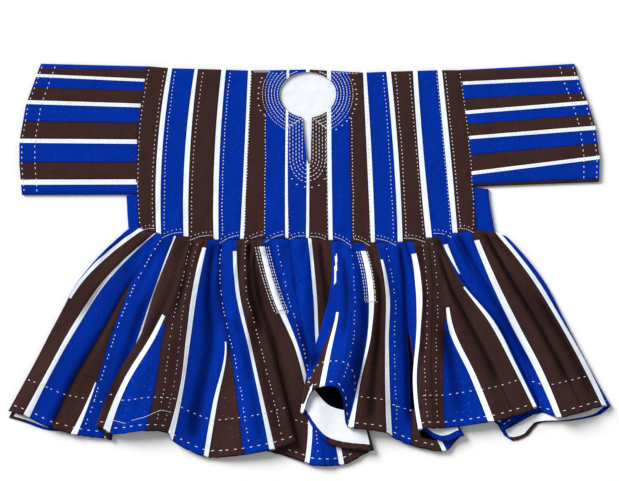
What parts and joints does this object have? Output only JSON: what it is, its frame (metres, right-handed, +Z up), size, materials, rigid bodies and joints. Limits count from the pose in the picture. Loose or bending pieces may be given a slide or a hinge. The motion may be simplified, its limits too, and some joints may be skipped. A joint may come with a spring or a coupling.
{
  "type": "fugu smock",
  "caption": "Wide striped smock with short sleeves, a keyhole neck and a flared pleated skirt, laid out flat.",
  "frame": {"origin": "on the surface the smock lies on, under the middle of its bounding box", "axes": "+X along the sleeves, towards the right of the front view; +Y from the hem to the neck; +Z up out of the front"},
  "size_m": [1.2065, 0.806, 0.0491],
  "materials": {
    "striped_cloth": "handwoven cotton strips in royal blue, dark brown and white, sewn side by side",
    "blue_cloth": "handwoven royal blue cotton",
    "white_strip": "white woven band with running stitches",
    "lining": "plain white cotton lining",
    "stitching": "white cotton thread"
  },
  "bodies": {
    "root": {"back_bodice": "striped_cloth", "lining_back": "lining", "front_bodice": "striped_cloth", "sleeve_left": "striped_cloth", "sleeve_right": "striped_cloth", "gore_left": "blue_cloth", "gore_right": "blue_cloth", "skirt_back": "striped_cloth", "lining_skirt_back": "lining", "skirt_front": "striped_cloth", "pocket_left": "white_strip", "pocket_right": "white_strip", "lining_flute_centre": "lining", "lining_flute_right": "lining"}
  },
  "joints": []
}
